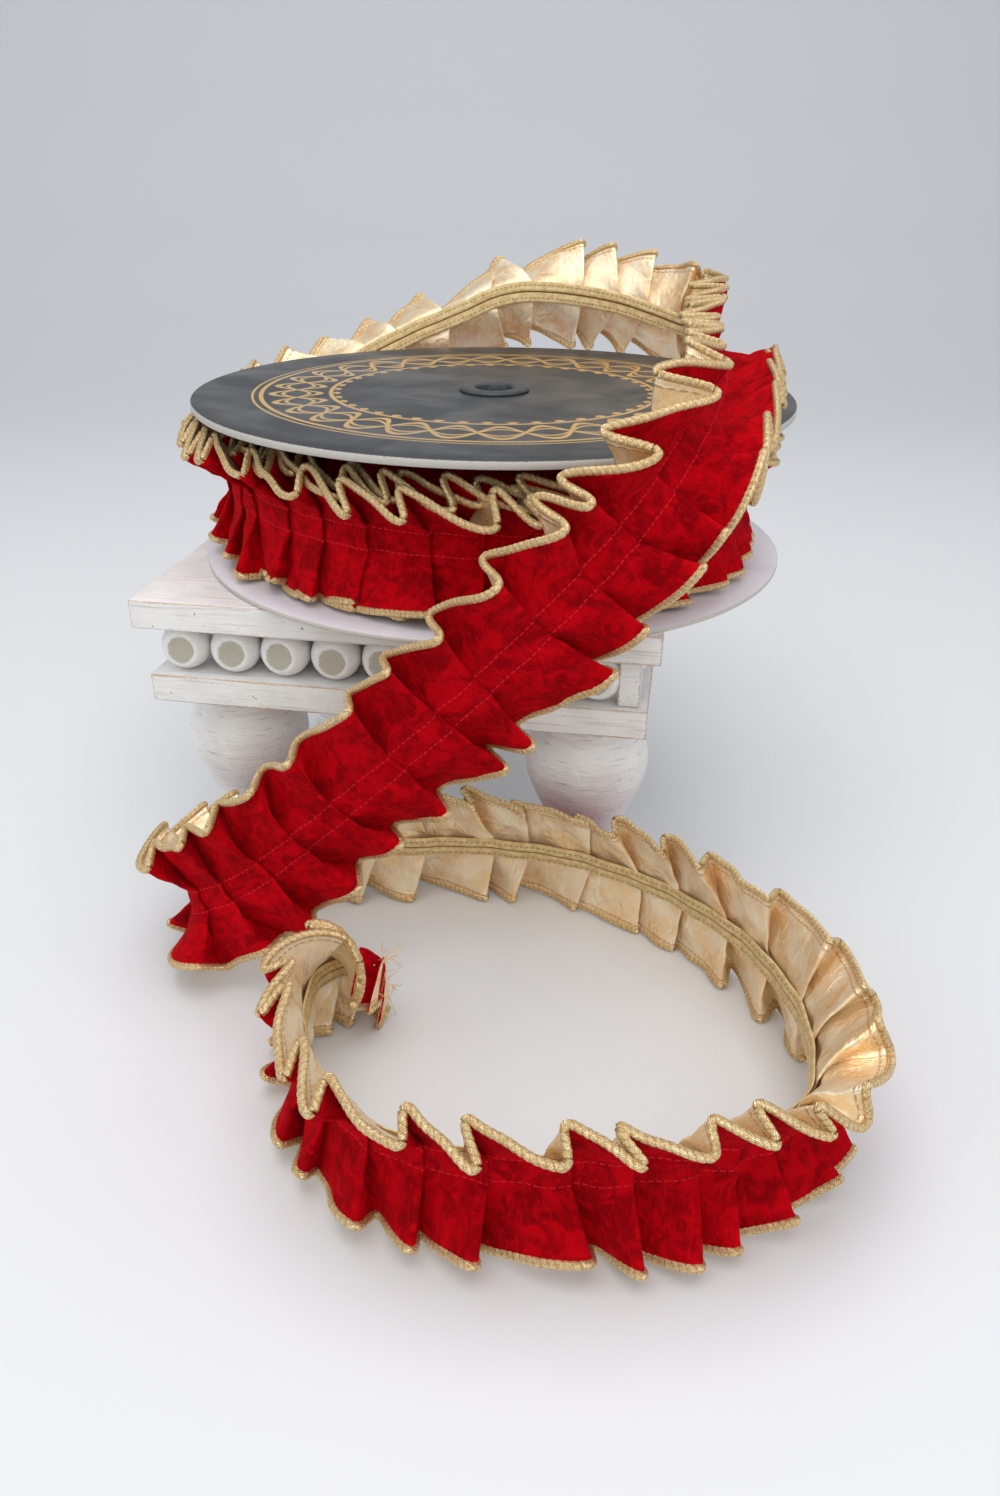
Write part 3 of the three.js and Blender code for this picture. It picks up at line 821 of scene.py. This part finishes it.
loose_end = [
    # x, y, z about the spool's axis, lean of the ribbon's top to the velvet side, and bend of its
    # upper and of its lower half to the velvet side, in degrees
    (-97, -56, 166, 4, 40, 18),
    (-113, -20, 167, 8, 36, 24),
    (-113, 20, 167, 4, 30, 27),
    (-109, 62, 169, 8, 40, 29),
    (-99, 97, 176, 12, 56, 30),
    (-79, 123, 186, 20, 66, 40),
    (-50, 137, 200, 24, 68, 44),
    (-17, 141, 213, 24, 66, 44),
    (16, 141, 225, 18, 56, 46),
    (60, 138, 223, 2, 42, 40),
    (94, 124, 215, -2, 34, 34),
    (110, 94, 211, -20, 34, 34),
    (106, 48, 209, -50, 44, 46),
    (93, -14, 208, -64, 60, 52),
    (78, -70, 208, -62, 74, 52),
    (67, -106, 207, -50, 74, 48),
    (57, -126, 199, -34, 58, 34),
    (41, -140, 180, -14, 30, 12),
    (10, -149, 148, 2, 2, -6),
    (-27, -153, 112, 8, -12, -10),
    (-64, -153, 78, 8, -14, -6),
    (-97, -150, 49, 2, 6, 2),
    (-120, -140, 34, -2, 44, 26),
    (-120, -122, 31, 4, 56, 30),
    (-100, -103, 31, 0, 52, 20),
    (-56, -93, 29, -10, 14, 2),
    (-8, -91, 28, -14, -8, -8),
    (32, -102, 28, -14, -12, -14),
    (66, -126, 28, -12, -12, -16),
    (91, -162, 29, -6, 0, 2),
    (101, -205, 30, 0, 36, 30),
    (92, -246, 30, 0, 66, 30),
    (56, -267, 30, 0, 34, 28),
    (4, -270, 30, 0, 34, 28),
    (-40, -258, 30, 2, 32, 28),
    (-62, -234, 30, 0, 30, 28),
    (-70, -214, 30, 0, 20, 26),
    (-72, -196, 30, 0, 6, 22),
    (-69, -181, 30, -4, -30, 14),
    (-62, -173, 30, -8, -95, 4),
    (-53, -171, 29, -12, -140, -6),
    (-44, -174, 28, -14, -150, -14),
]

turns_shown = 3
roll_radius = 110
turn_pitch = 4.8
roll_end = -150
turns = []
# The turns' upper edges fall outward at the front of the roll, where the pleats hang open.
for angle in range(roll_end + 360 * turns_shown, roll_end, -12):
    turn_inside = (angle - roll_end) / 360
    radius = roll_radius - turn_pitch * turn_inside
    front = max(0.0, math.cos(math.radians(angle + 85))) ** 1.2
    tucked = 1.0 if turn_inside < 1 else 0.8
    x, y = radius * math.cos(math.radians(angle)), radius * math.sin(math.radians(angle))
    turns.append((x, y, 165, 2, tucked * (12 + 44 * front), 8 + 6 * front))

course = ribbon_course(turns + loose_end)
half_across = np.array([
    0.9, 2.6, 3.6, stitch_row, 5.0, 6.4, 8.4, 10.8, 13.4, 16.2, 19.0, 21.8, 24.4, 26.7, cord_row,
])
across = np.concatenate([-half_across[::-1], half_across])
middle_column = len(half_across)
loose_start = lengths(smooth_rows(turns + loose_end[:1])[:, :3])[-1]
folds = fold_table(len(course["middle"]) - 1.0, loose_start, fold_seed)
path = dented(pleated(folds, across), dent_seed, dent_depth)
surface = placed(course, path[..., 0], path[..., 1], path[..., 2])
split = int(np.argmax(path[:, middle_column, 0] > loose_start))
split -= split % path_steps

velvet_finish, lame_finish = crushed_velvet(), gold_lame()
loose_cloth = cloth_piece("loose_cloth", surface[split:], across, [velvet_finish, lame_finish])
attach(loose_cloth, "root")
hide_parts("loose_ribbon")
outer_turn = int(np.argmax(path[:, middle_column, 0] > loose_start - 2 * math.pi * roll_radius))
outer_turn -= outer_turn % path_steps
wound_cloths = [
    # name, its rows; the inner turns are hidden, so every second row is enough
    ("outer_turn_cloth", slice(outer_turn, split + 1)),
    ("inner_turns_cloth", slice(0, outer_turn + 1, 2)),
]
for cloth_name, rows in wound_cloths:
    wound_cloth = cloth_piece(cloth_name, surface[rows], across, [velvet_finish, lame_finish])
    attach(wound_cloth, "root")
    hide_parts("wound_ribbon")

# Packed turns. The rest of the ribbon lies wound tight on the hub, layer on layer, where only a dark
# gap between the flange and the outer turns lets it be seen.

packed_radius = roll_radius - turn_pitch * turns_shown - 4
packed_bottom = 0.1362
layer_top, layer_gap = 0.1950, 0.1925
innermost = tube_radius * 1000 + 1
packed_outline = []
for r in np.arange(innermost, packed_radius, 2.2):
    packed_outline += [(r / 1000, layer_top), ((r + 1.0) / 1000, layer_gap)]
packed_outline += [(packed_radius / 1000, z) for z in np.linspace(0.192, 0.1375, 18)]
packed_outline += [(r / 1000, packed_bottom) for r in np.linspace(packed_radius - 2, innermost, 12)]
packed = turned("packed_turns", packed_outline, 140, on_axis, velvet_finish, closed=True)
for corner in packed.data.vertices:
    x, y = corner.co.x - axis_x, corner.co.y - axis_y
    if math.hypot(x, y) > 0.9 * packed_radius / 1000:
        ripple = 1 + 0.012 * math.sin(38 * math.atan2(y, x) + 60 * corner.co.z)
        corner.co.x, corner.co.y = axis_x + x * ripple, axis_y + y * ripple
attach(packed, "root")
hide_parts("wound_ribbon")

# Edge cords. A champagne metallic braid over a thin wire, sewn along both long edges, so it takes
# every turn of the pleats' ends.

braid_twist = 2.3
braid_relief = 0.09


def tube_faces(rows, sides):
    """The four-sided faces of a tube whose rows are rings of that many sides."""
    row = np.repeat(np.arange(rows - 1), sides) * sides
    column = np.tile(np.arange(sides), rows - 1)
    following = (column + 1) % sides
    return np.stack([row + column, row + following, row + following + sides, row + column + sides], 1)


def rings_about(line, aside, radius):
    """A ring about each point of a line, from the side given on, with a radius for each corner."""
    forward = unit(np.gradient(line, axis=0))
    aside = unit(aside - (aside * forward).sum(1, keepdims=True) * forward)
    turn = 2 * np.pi * np.arange(radius.shape[1]) / radius.shape[1]
    turn = turn[None, :, None]
    ring = aside[:, None] * np.cos(turn) + np.cross(forward, aside)[:, None] * np.sin(turn)
    return line[:, None] + radius[..., None] * ring


def braided_tube(name, line, aside, sides, finish):
    """A round braid along evenly spaced points, with two crossing rows of strands, closed at both
    ends."""
    along = lengths(line)
    turn = 2 * np.pi * np.arange(sides) / sides
    strand = np.sin(2 * np.pi * along[:, None] / braid_twist + 2 * np.abs(turn[None, :] - np.pi))
    radius = cord_radius + braid_relief * strand
    radius[[0, -1]] = 0.05
    points = rings_about(line, aside, radius)
    faces = tube_faces(len(line), sides)
    row, column = faces[:, 0] // sides, faces[:, 0] % sides
    around = 2 * np.pi * cord_radius / sides
    place = np.stack([
        along[np.stack([row, row, row + 1, row + 1], 1)],
        around * np.stack([column, column + 1, column + 1, column], 1),
        np.zeros((len(faces), 4)),
    ], -1).reshape(-1, 3)
    return new_piece(name, in_frame(points.reshape(-1, 3)), faces, place, [finish])


def evenly(line, aside, spacing):
    """The line again with even spacing, and the directions beside it."""
    along = lengths(line)
    even = np.linspace(0, along[-1], int(along[-1] / spacing))
    spaced = [np.stack([np.interp(even, along, column) for column in rows.T], 1) for rows in (line, aside)]
    return softened(spaced[0], 2), spaced[1]


def gold_braid():
    finish, tree, shader, place, along, across_it = woven_finish("gold_braid")
    around = apart(tree, across_it, math.pi * cord_radius)
    slope = 2 / cord_radius / (2 * math.pi / braid_twist)
    strand = sums(tree, "MULTIPLY_ADD", around, slope, along)
    strand = waves(tree, strand, 2 * math.pi / braid_twist)
    ply = waves(tree, sums(tree, "MULTIPLY_ADD", around, -0.9, along), 9.0)
    coarse = step(tree, "VectorMath", {0: place, 1: (0.45, 0.45, 0.45)}, operation="SNAP").outputs[0]
    glint = step(tree, "TexWhiteNoise", {"Vector": coarse}, noise_dimensions="3D").outputs["Value"]
    # The lighter tone in random small cells is painted glints, light catching single strands; glint also
    # lowers the roughness there.
    tone = blended(tree, glint, colour_of(206, 168, 108), colour_of(252, 228, 180))
    # The darker brown laid where the strands dip is painted shade in the gaps between them.
    colour = blended(tree, ramp(tree, strand, -0.75, -0.98, 0.0, 0.5), tone, colour_of(160, 116, 64))
    tree.links.new(colour, shader.inputs["Base Color"])
    height = sums(tree, "MULTIPLY_ADD", ply, 0.25, sums(tree, "MULTIPLY", glint, 0.3))
    roughened(tree, shader, height, 0.8, 0.0004)
    tree.links.new(ramp(tree, glint, 0.0, 1.0, 0.5, 0.26), shader.inputs["Roughness"])
    shader.inputs["Metallic"].default_value = 0.7
    return finish


braid_finish = gold_braid()
edge_across = np.array([-cord_row, cord_row])
edge_path = dented(pleated(folds, edge_across), dent_seed, dent_depth)
edge_lines = placed(course, edge_path[..., 0], edge_path[..., 1], edge_path[..., 2])
edge_aside = placed(course, edge_path[..., 0], edge_path[..., 1], edge_path[..., 2] + 1) - edge_lines
for column, edge_name in ((0, "lower"), (1, "upper")):
    for part, rows in (("loose", slice(split, None)), ("wound", slice(0, split + 1))):
        spacing, sides = (0.62, 10) if part == "loose" else (0.85, 8)
        line, aside = evenly(edge_lines[rows, column], edge_aside[rows, column], spacing)
        braid = braided_tube(f"{edge_name}_braid_{part}", line, aside, sides, braid_finish)
        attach(braid, "root")
        if part == "loose":
            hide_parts(f"{edge_name}_edge_cord")

# Centre tape. A flat gold band woven with two raised ribs and a groove, sewn down the middle of the
# gold side over the backs of the pleats.

tape_lift = 1.9 * folded_layer
tape_thickness = 0.25
tape_row = 3.2
tape_section = [
    # place across, height over the pleats' backs
    (-5.0, 0.0), (-4.7, 0.45), (-4.0, 0.75), (-3.2, 0.55), (-2.6, 0.8), (-1.4, 0.95), (-0.7, 0.7),
    (-0.3, 0.1), (0.3, 0.1), (0.7, 0.7), (1.4, 0.95), (2.6, 0.8), (3.2, 0.55), (4.0, 0.75),
    (4.7, 0.45), (5.0, 0.0),
]


def gold_tape():
    finish, tree, shader, place, along, across_it = woven_finish("gold_tape")
    weave = sums(tree, "MULTIPLY", waves(tree, along, 7.5), waves(tree, across_it, 12.0))
    off = off_row(tree, across_it, tape_row)
    thread = stitched(tree, along, off, 2.6, (0.55, 0.15), (-0.5, 0.2))
    groove = ramp(tree, sums(tree, "ABSOLUTE", across_it), 0.55, 0.15)
    tone = grain(tree, place, 0.35, 3)
    deep, bright = colour_of(222, 188, 128), colour_of(246, 224, 170)
    colour = blended(tree, ramp(tree, tone, 0.3, 0.7), deep, bright)
    # The near-white on the weave's raised threads is a painted highlight.
    colour = blended(tree, ramp(tree, weave, 0.2, 0.9, 0.0, 0.3), colour, colour_of(255, 242, 204))
    colour = blended(tree, sums(tree, "MULTIPLY", thread, 0.7), colour, colour_of(176, 134, 76))
    # The dark brown down the groove between the two ribs is painted shade.
    colour = blended(tree, groove, colour, colour_of(128, 92, 46))
    tree.links.new(colour, shader.inputs["Base Color"])
    height = sums(tree, "SUBTRACT", sums(tree, "MULTIPLY", weave, 0.5), thread)
    roughened(tree, shader, height, 0.7, 0.0004)
    shader.inputs["Metallic"].default_value = 0.65
    shader.inputs["Roughness"].default_value = 0.38
    return finish


tape_start = float(path[split, middle_column, 0])
tape_along = np.arange(tape_start, len(course["middle"]) - 2, 2.4)
tape_across, tape_height = np.array(tape_section).T
ripple = 0.25 * np.sin(tape_along / 3.3) + 0.2 * np.sin(tape_along / 7.1 + 1)
lift = -(tape_lift + tape_height[None, :] + ripple[:, None])
tape_face = placed(course, tape_along[:, None], tape_across[None, :], lift)
lift = lift + tape_height[None, :] + tape_thickness
tape_foot = placed(course, tape_along[:, None], tape_across[None, :], lift)
rows, columns = tape_face.shape[:2]
ring = grid_rim(rows, columns)
following = np.roll(ring, -1)
faces = np.vstack([
    grid_faces(rows, columns),
    grid_faces(rows, columns, rows * columns)[:, ::-1],
    np.stack([ring, ring + rows * columns, following + rows * columns, following], 1),
])
place = np.stack(np.broadcast_arrays(tape_along[:, None], tape_across[None, :], 0.0), -1).reshape(-1, 3)
tape_points = in_frame(np.vstack([tape_face.reshape(-1, 3), tape_foot.reshape(-1, 3)]))
tape = new_piece("back_tape", tape_points, faces, np.vstack([place, place]), [gold_tape()])
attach(tape, "root")
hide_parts("centre_tape")

# Cut end. The ribbon was cut across with scissors and left raw, so single gold threads of the lame
# fray out of it, and it is one sheet of cloth from there to the roll.

thread_radius = 0.16
frayed_threads = 26
thread_sides = 5
lowest_thread = 0.4


def plain_thread(name, points, radius, finish):
    """A thin round thread along a few points in millimetres."""
    line = smooth_rows([tuple(point) + (0, 0, 0) for point in points])[:, :3]
    aside = np.cross(np.gradient(line, axis=0), (0.3, 0.5, 0.8))
    count = np.arange(len(line))
    taper = np.clip(np.minimum(count, count[::-1]), 0.05, 1)
    points = rings_about(line, aside, np.repeat(radius * taper[:, None], thread_sides, axis=1))
    faces = tube_faces(len(line), thread_sides)
    place = np.zeros((points.size // 3, 3))
    return new_piece(name, in_frame(points.reshape(-1, 3)), faces, place, [finish])


dice = np.random.RandomState(11)
cut = surface[-1]
onward = unit(surface[-1, middle_column] - surface[-6, middle_column])
for k in range(frayed_threads):
    root = cut[dice.randint(2, len(across) - 2)] - 0.3 * onward
    way = unit(onward + 0.7 * dice.normal(size=3))
    droop = np.array([0, 0, -dice.uniform(0.5, 4)])
    reach = dice.uniform(3, 11)
    curl = 1.6 * dice.normal(size=3)
    points = [
        root,
        root + 0.4 * reach * way + curl * 0.4,
        root + 0.75 * reach * way + droop * 0.5 - curl * 0.3,
        root + reach * way + droop,
    ]
    points = [np.maximum(point, (-np.inf, -np.inf, lowest_thread)) for point in points]
    fray = plain_thread(f"frayed_thread_{k + 1}", points, thread_radius, braid_finish)
    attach(fray, "root")

# Floor and light. A plain pale paper sweep, soft light from all sides and most of it from above.
# None of it is part of the object.

sweep = [
    # distance back, height
    (-1.4, 0.0), (1.0, 0.0), (1.2, 0.012), (1.4, 0.06), (1.6, 0.17), (1.75, 0.36), (1.84, 0.62),
    (1.88, 3.2),
]
floor_mesh = bpy.data.meshes.new("floor")
corners = [(x, y, z) for y, z in sweep for x in (-3.5, 3.5)]
strips = [(i, i + 1, i + 3, i + 2) for i in range(0, len(corners) - 2, 2)]
floor_mesh.from_pydata(corners, [], strips)
floor_mesh.shade_smooth()
floor = in_scene("floor", floor_mesh)
paper, tree, shader = new_finish("pale_paper")
shader.inputs["Base Color"].default_value = colour_of(227, 228, 230)
shader.inputs["Roughness"].default_value = 0.65
floor_mesh.materials.append(paper)

soft_lights = [
    # name, place, what it is aimed at, size, power
    ("overhead", (-0.03, -0.2, 1.12), (0, -0.2, 0.0), (1.2, 1.0), 7.6),
    ("window", (-1.2, -0.5, 0.9), (0, 0, 0.1), (1.0, 1.0), 3),
    ("fill", (1.2, -0.1, 0.8), (0, 0, 0.15), (0.9, 0.9), 1.6),
    ("front", (0.2, -1.5, 0.95), (0, -0.1, 0.05), (1.3, 0.9), 6),
    ("backdrop", (0, 0.9, 1.7), (0, 1.6, 0.3), (2.6, 0.6), 3),
]
for name, place, target, size, power in soft_lights:
    light = bpy.data.lights.new(name, "AREA")
    light.shape = "RECTANGLE"
    light.size, light.size_y = size
    light.energy = power
    lamp = in_scene(name, light)
    lamp.location = place
    lamp.rotation_euler = (Vector(target) - Vector(place)).to_track_quat("-Z", "Y").to_euler()
world = bpy.data.worlds.new("studio")
world.use_nodes = True
world.node_tree.nodes["Background"].inputs["Color"].default_value = (0.93, 0.96, 1.0, 1)
world.node_tree.nodes["Background"].inputs["Strength"].default_value = 0.5
bpy.context.scene.world = world
bpy.context.scene.view_settings.view_transform = "Standard"

# Camera. It stands at the photograph's place, half a metre before the spool and above it, and looks
# down on the roll at the photograph's angle.

camera_place = in_frame((-16.5, -497.5, 288.0))
pitch, yaw, roll = 0.484, -0.0412, 0.0101
focal_pixels, picture_height = 1120, 1496
right = Vector((math.cos(yaw), math.sin(yaw), 0))
forward = Vector((-math.sin(yaw) * math.cos(pitch), math.cos(yaw) * math.cos(pitch), -math.sin(pitch)))
up = right.cross(forward)
camera_x = right * math.cos(roll) + up * math.sin(roll)
camera_y = up * math.cos(roll) - right * math.sin(roll)
lens = bpy.data.cameras.new("photo_camera")
lens.sensor_fit = "VERTICAL"
lens.sensor_height = 36
lens.lens = lens.sensor_height * focal_pixels / picture_height
lens.clip_start = 0.01
camera = in_scene("photo_camera", lens)
facing = Matrix((camera_x, camera_y, -forward)).transposed().to_4x4()
camera.matrix_world = Matrix.Translation(camera_place) @ facing
bpy.context.scene.camera = camera
